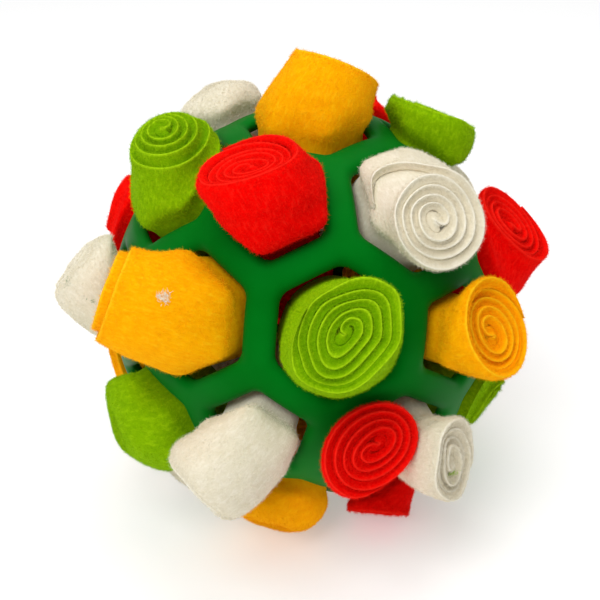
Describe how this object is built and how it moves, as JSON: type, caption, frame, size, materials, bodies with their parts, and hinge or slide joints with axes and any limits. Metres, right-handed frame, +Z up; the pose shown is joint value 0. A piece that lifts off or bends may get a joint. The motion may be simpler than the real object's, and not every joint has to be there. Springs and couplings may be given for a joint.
{
  "type": "snuffle puzzle ball",
  "caption": "Rubber lattice ball for a dog's treats, its openings stuffed with rolled fleece strips that pull out one by one.",
  "frame": {"origin": "on the ground, under the middle of the ball's outline", "axes": "+Z up, -Y towards the viewer of the picture"},
  "size_m": [0.1472, 0.156, 0.1412],
  "materials": {
    "rubber": "moulded green rubber, satin",
    "lime_fleece": "lime green polar fleece, brushed both sides",
    "red_fleece": "red polar fleece, brushed both sides",
    "yellow_fleece": "golden yellow polar fleece, brushed both sides",
    "cream_fleece": "off-white polar fleece, brushed both sides"
  },
  "bodies": {
    "ball": {"rubber_lattice_ball": "rubber"},
    "yellow_strip_01": {"yellow_roll_01": "yellow_fleece"},
    "red_strip_02": {"red_roll_02": "red_fleece"},
    "lime_strip_03": {"lime_roll_03": "lime_fleece"},
    "cream_strip_04": {"cream_roll_04": "cream_fleece"},
    "cream_strip_05": {"cream_roll_05": "cream_fleece"},
    "red_strip_06": {"red_roll_06": "red_fleece"},
    "lime_strip_07": {"lime_roll_07": "lime_fleece"},
    "lime_strip_08": {"lime_roll_08": "lime_fleece"},
    "red_strip_09": {"red_roll_09": "red_fleece"},
    "cream_strip_10": {"cream_roll_10": "cream_fleece"},
    "yellow_strip_11": {"yellow_roll_11": "yellow_fleece"},
    "red_strip_12": {"red_roll_12": "red_fleece"},
    "yellow_strip_13": {"yellow_roll_13": "yellow_fleece"},
    "yellow_strip_14": {"yellow_roll_14": "yellow_fleece"},
    "cream_strip_15": {"cream_roll_15": "cream_fleece"},
    "cream_strip_16": {"cream_roll_16": "cream_fleece"},
    "lime_strip_17": {"lime_roll_17": "lime_fleece"},
    "lime_strip_18": {"lime_roll_18": "lime_fleece"},
    "cream_strip_19": {"cream_roll_19": "cream_fleece"},
    "lime_strip_20": {"lime_roll_20": "lime_fleece"},
    "yellow_strip_21": {"yellow_roll_21": "yellow_fleece"},
    "red_strip_22": {"red_roll_22": "red_fleece"},
    "yellow_strip_23": {"yellow_roll_23": "yellow_fleece"},
    "lime_strip_24": {"lime_roll_24": "lime_fleece"},
    "red_strip_25": {"red_roll_25": "red_fleece"},
    "cream_strip_26": {"cream_roll_26": "cream_fleece"},
    "lime_strip_27": {"lime_roll_27": "lime_fleece"},
    "cream_strip_28": {"cream_roll_28": "cream_fleece"},
    "yellow_strip_29": {"yellow_roll_29": "yellow_fleece"},
    "red_strip_30": {"red_roll_30": "red_fleece"},
    "red_strip_31": {"red_roll_31": "red_fleece"},
    "cream_strip_32": {"cream_roll_32": "cream_fleece"},
    "yellow_strip_33": {"yellow_roll_33": "yellow_fleece"}
  },
  "joints": [
    {"name": "pull_out_01", "type": "slide", "parent": "ball", "child": "yellow_strip_01", "axis": [0, 0, 1], "range_m": [0, 0.03]},
    {"name": "pull_out_02", "type": "slide", "parent": "ball", "child": "red_strip_02", "axis": [-0.1438, -0.5898, 0.7947], "range_m": [0, 0.03]},
    {"name": "pull_out_03", "type": "slide", "parent": "ball", "child": "lime_strip_03", "axis": [0.5827, 0.1704, 0.7947], "range_m": [0, 0.03]},
    {"name": "pull_out_04", "type": "slide", "parent": "ball", "child": "cream_strip_04", "axis": [-0.4389, 0.4194, 0.7947], "range_m": [0, 0.03]},
    {"name": "pull_out_05", "type": "slide", "parent": "ball", "child": "cream_strip_05", "axis": [0.482, -0.4606, 0.7454], "range_m": [0, 0.03]},
    {"name": "pull_out_06", "type": "slide", "parent": "ball", "child": "red_strip_06", "axis": [0.1579, 0.6477, 0.7454], "range_m": [0, 0.03]},
    {"name": "pull_out_07", "type": "slide", "parent": "ball", "child": "lime_strip_07", "axis": [-0.6399, -0.1871, 0.7454], "range_m": [0, 0.03]},
    {"name": "pull_out_08", "type": "slide", "parent": "ball", "child": "lime_strip_08", "axis": [0.14, -0.9324, 0.3333], "range_m": [0, 0.03]},
    {"name": "pull_out_09", "type": "slide", "parent": "ball", "child": "red_strip_09", "axis": [0.9377, -0.0975, 0.3333], "range_m": [0, 0.03]},
    {"name": "pull_out_10", "type": "slide", "parent": "ball", "child": "cream_strip_10", "axis": [0.7374, 0.5874, 0.3333], "range_m": [0, 0.03]},
    {"name": "pull_out_11", "type": "slide", "parent": "ball", "child": "yellow_strip_11", "axis": [-0.3844, 0.8609, 0.3333], "range_m": [0, 0.03]},
    {"name": "pull_out_12", "type": "slide", "parent": "ball", "child": "red_strip_12", "axis": [-0.8774, 0.3449, 0.3333], "range_m": [0, 0.03]},
    {"name": "pull_out_13", "type": "slide", "parent": "ball", "child": "yellow_strip_13", "axis": [-0.5533, -0.7634, 0.3333], "range_m": [0, 0.03]},
    {"name": "pull_out_14", "type": "slide", "parent": "ball", "child": "yellow_strip_14", "axis": [0.7101, -0.6786, 0.1876], "range_m": [0, 0.03]},
    {"name": "pull_out_15", "type": "slide", "parent": "ball", "child": "cream_strip_15", "axis": [0.2326, 0.9543, 0.1876], "range_m": [0, 0.03]},
    {"name": "pull_out_16", "type": "slide", "parent": "ball", "child": "cream_strip_16", "axis": [-0.9428, -0.2757, 0.1876], "range_m": [0, 0.03]},
    {"name": "pull_out_17", "type": "slide", "parent": "ball", "child": "lime_strip_17", "axis": [0.9428, 0.2757, -0.1876], "range_m": [0, 0.03]},
    {"name": "pull_out_18", "type": "slide", "parent": "ball", "child": "lime_strip_18", "axis": [-0.7101, 0.6786, -0.1876], "range_m": [0, 0.03]},
    {"name": "pull_out_19", "type": "slide", "parent": "ball", "child": "cream_strip_19", "axis": [-0.2326, -0.9543, -0.1876], "range_m": [0, 0.03]},
    {"name": "pull_out_20", "type": "slide", "parent": "ball", "child": "lime_strip_20", "axis": [0.8774, -0.3449, -0.3333], "range_m": [0, 0.03]},
    {"name": "pull_out_21", "type": "slide", "parent": "ball", "child": "yellow_strip_21", "axis": [0.5533, 0.7634, -0.3333], "range_m": [0, 0.03]},
    {"name": "pull_out_22", "type": "slide", "parent": "ball", "child": "red_strip_22", "axis": [-0.14, 0.9324, -0.3333], "range_m": [0, 0.03]},
    {"name": "pull_out_23", "type": "slide", "parent": "ball", "child": "yellow_strip_23", "axis": [-0.9377, 0.0975, -0.3333], "range_m": [0, 0.03]},
    {"name": "pull_out_24", "type": "slide", "parent": "ball", "child": "lime_strip_24", "axis": [-0.7374, -0.5874, -0.3333], "range_m": [0, 0.03]},
    {"name": "pull_out_25", "type": "slide", "parent": "ball", "child": "red_strip_25", "axis": [0.3844, -0.8609, -0.3333], "range_m": [0, 0.03]},
    {"name": "pull_out_26", "type": "slide", "parent": "ball", "child": "cream_strip_26", "axis": [0.3844, -0.8609, -0.3333], "range_m": [0, 0.03]},
    {"name": "pull_out_27", "type": "slide", "parent": "ball", "child": "lime_strip_27", "axis": [0.6399, 0.1871, -0.7454], "range_m": [0, 0.03]},
    {"name": "pull_out_28", "type": "slide", "parent": "ball", "child": "cream_strip_28", "axis": [-0.482, 0.4606, -0.7454], "range_m": [0, 0.03]},
    {"name": "pull_out_29", "type": "slide", "parent": "ball", "child": "yellow_strip_29", "axis": [-0.1579, -0.6477, -0.7454], "range_m": [0, 0.03]},
    {"name": "pull_out_30", "type": "slide", "parent": "ball", "child": "red_strip_30", "axis": [0.1438, 0.5898, -0.7947], "range_m": [0, 0.03]},
    {"name": "pull_out_31", "type": "slide", "parent": "ball", "child": "red_strip_31", "axis": [0.4389, -0.4194, -0.7947], "range_m": [0, 0.03]},
    {"name": "pull_out_32", "type": "slide", "parent": "ball", "child": "cream_strip_32", "axis": [-0.5827, -0.1704, -0.7947], "range_m": [0, 0.03]},
    {"name": "pull_out_33", "type": "slide", "parent": "ball", "child": "yellow_strip_33", "axis": [0, 0, -1], "range_m": [0, 0.03]}
  ]
}
